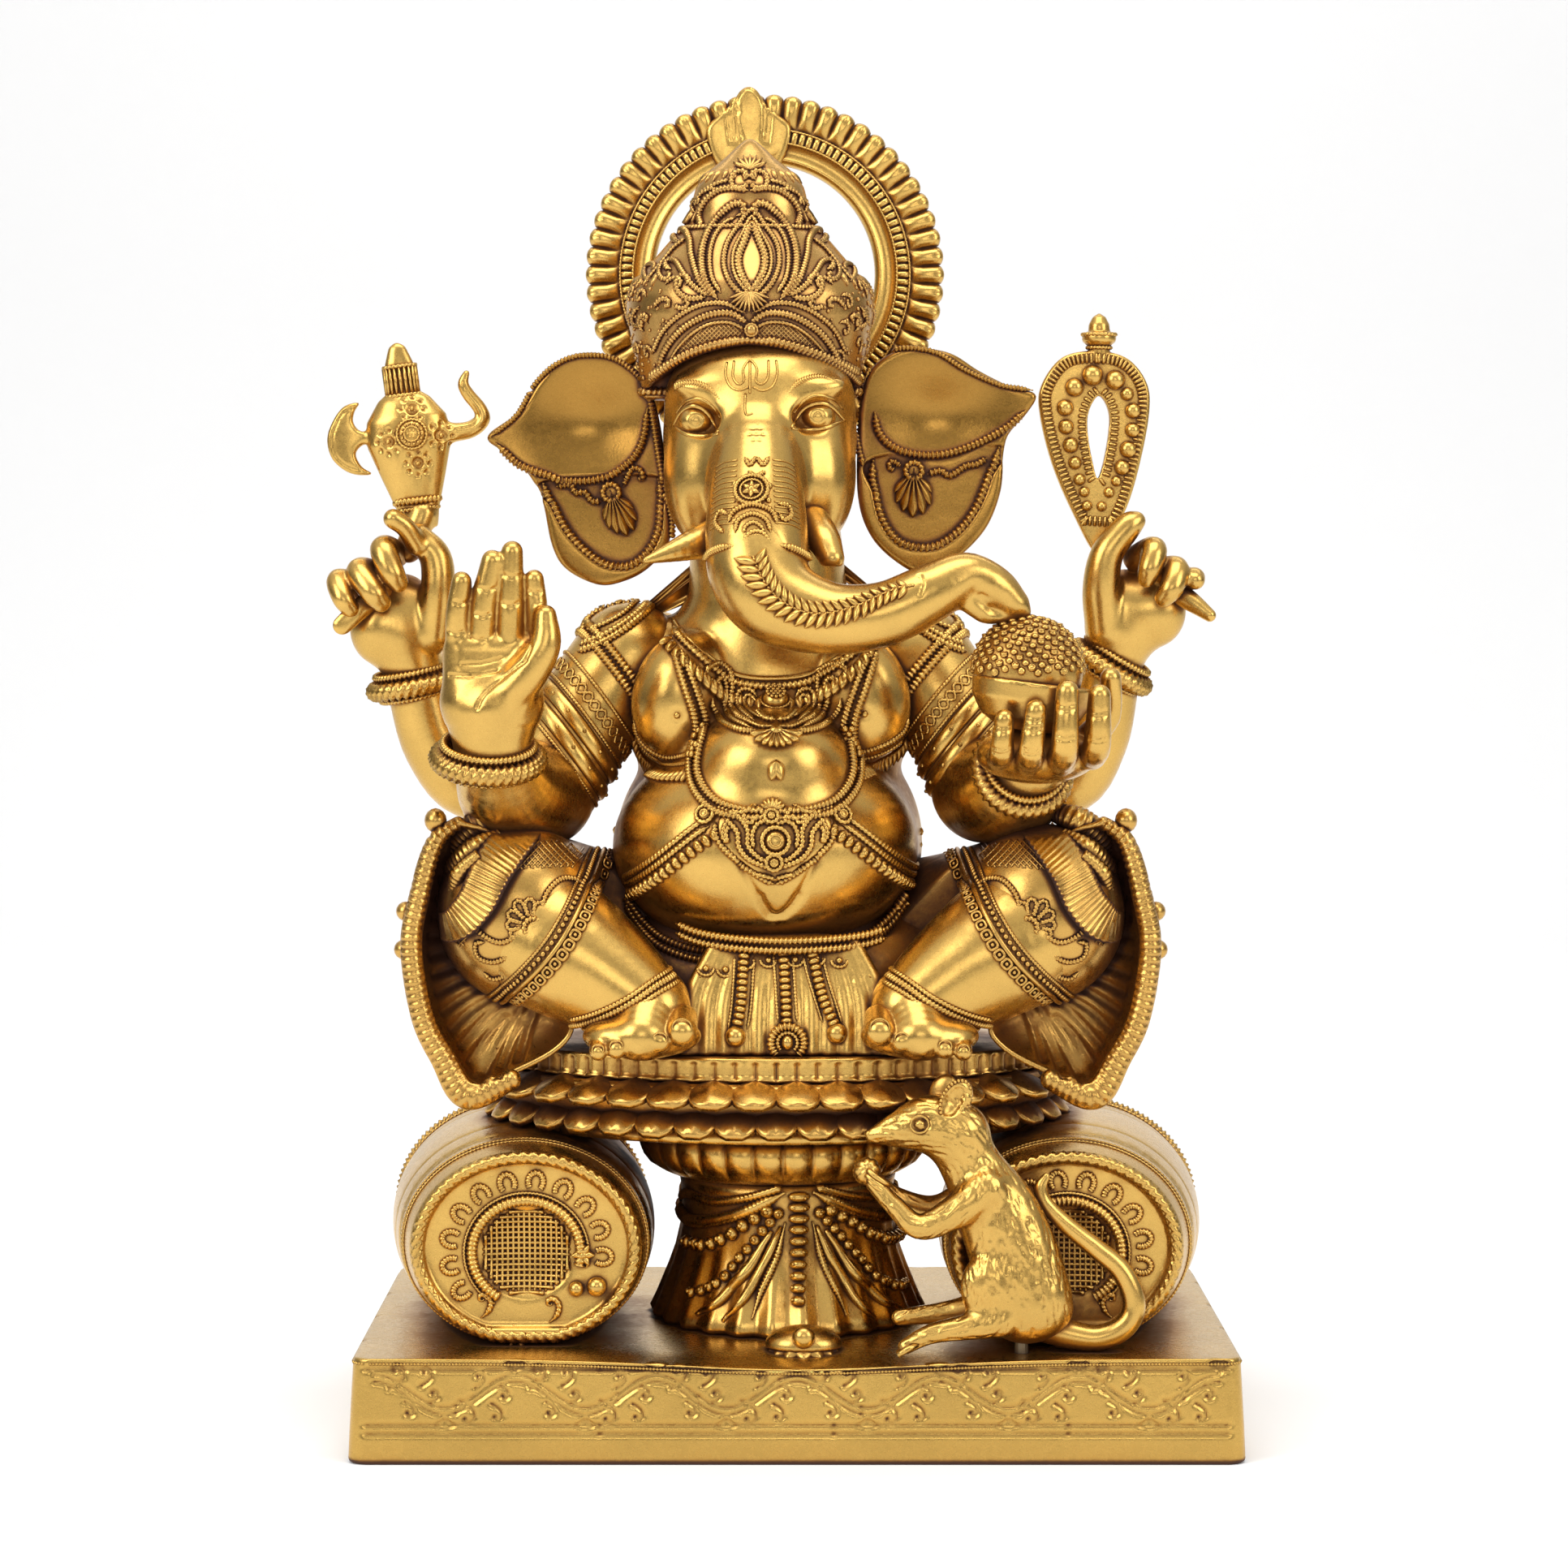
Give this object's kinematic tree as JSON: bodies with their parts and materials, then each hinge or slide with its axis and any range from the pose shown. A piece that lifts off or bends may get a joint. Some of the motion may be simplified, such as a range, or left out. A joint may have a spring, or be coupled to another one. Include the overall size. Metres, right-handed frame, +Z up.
{
  "type": "ganesha idol",
  "caption": "Seated elephant-headed devotional figure in cast brass on a lotus seat, bolsters and engraved plinth, with a mouse and a halo.",
  "frame": {"origin": "middle of the plinth's underside, on the cross of ribs that is flush with it", "axes": "+Z up, the figure faces -Y, and +X is towards its own left hand, the one with the bowl"},
  "size_m": [0.412, 0.25, 0.6114],
  "materials": {
    "polished_brass": "satin cast brass, bright on the proud parts, brown patina in the recesses",
    "patinated_brass": "dark reddish-brown patina over cast brass",
    "fixing": "plain steel, dulled"
  },
  "bodies": {
    "root": {"tie_stud": "fixing", "tie_washer": "fixing", "tie_nut": "fixing", "mouse_stud": "fixing", "mouse_nut": "fixing", "halo_screw_right": "fixing", "halo_screw_left": "fixing", "plinth": "polished_brass", "bolster_right": "polished_brass", "bolster_left": "polished_brass", "pedestal": "polished_brass", "pedestal_capital": "polished_brass", "drapery_boss": "polished_brass", "seat_ring": "polished_brass", "lotus_dish": "polished_brass", "rim_plate": "polished_brass", "torso": "polished_brass", "hips": "polished_brass", "right_thigh": "polished_brass", "left_thigh": "polished_brass", "right_shin": "polished_brass", "left_shin": "polished_brass", "right_foot": "polished_brass", "left_foot": "polished_brass", "apron": "polished_brass", "right_upper_arm": "polished_brass", "left_upper_arm": "polished_brass", "right_forearm": "polished_brass", "left_forearm": "polished_brass", "right_bangle": "polished_brass", "left_bangle": "polished_brass", "right_hand": "polished_brass", "left_hand": "polished_brass", "rear_right_arm": "polished_brass", "rear_left_arm": "polished_brass", "rear_right_bangle": "polished_brass", "rear_left_bangle": "polished_brass", "axe": "polished_brass", "noose": "polished_brass", "rear_right_hand": "polished_brass", "rear_left_hand": "polished_brass", "head": "polished_brass", "trunk": "polished_brass", "right_tusk": "polished_brass", "left_tusk": "polished_brass", "right_ear": "polished_brass", "left_ear": "polished_brass", "crown": "polished_brass", "halo": "polished_brass", "halo_bracket": "patinated_brass", "bowl": "polished_brass", "sweets": "polished_brass", "collar": "polished_brass", "belt": "polished_brass", "sacred_thread": "polished_brass", "right_hem": "polished_brass", "left_hem": "polished_brass", "mouse": "polished_brass", "mouse_tail": "polished_brass", "mouse_sweet": "polished_brass"}
  },
  "joints": []
}
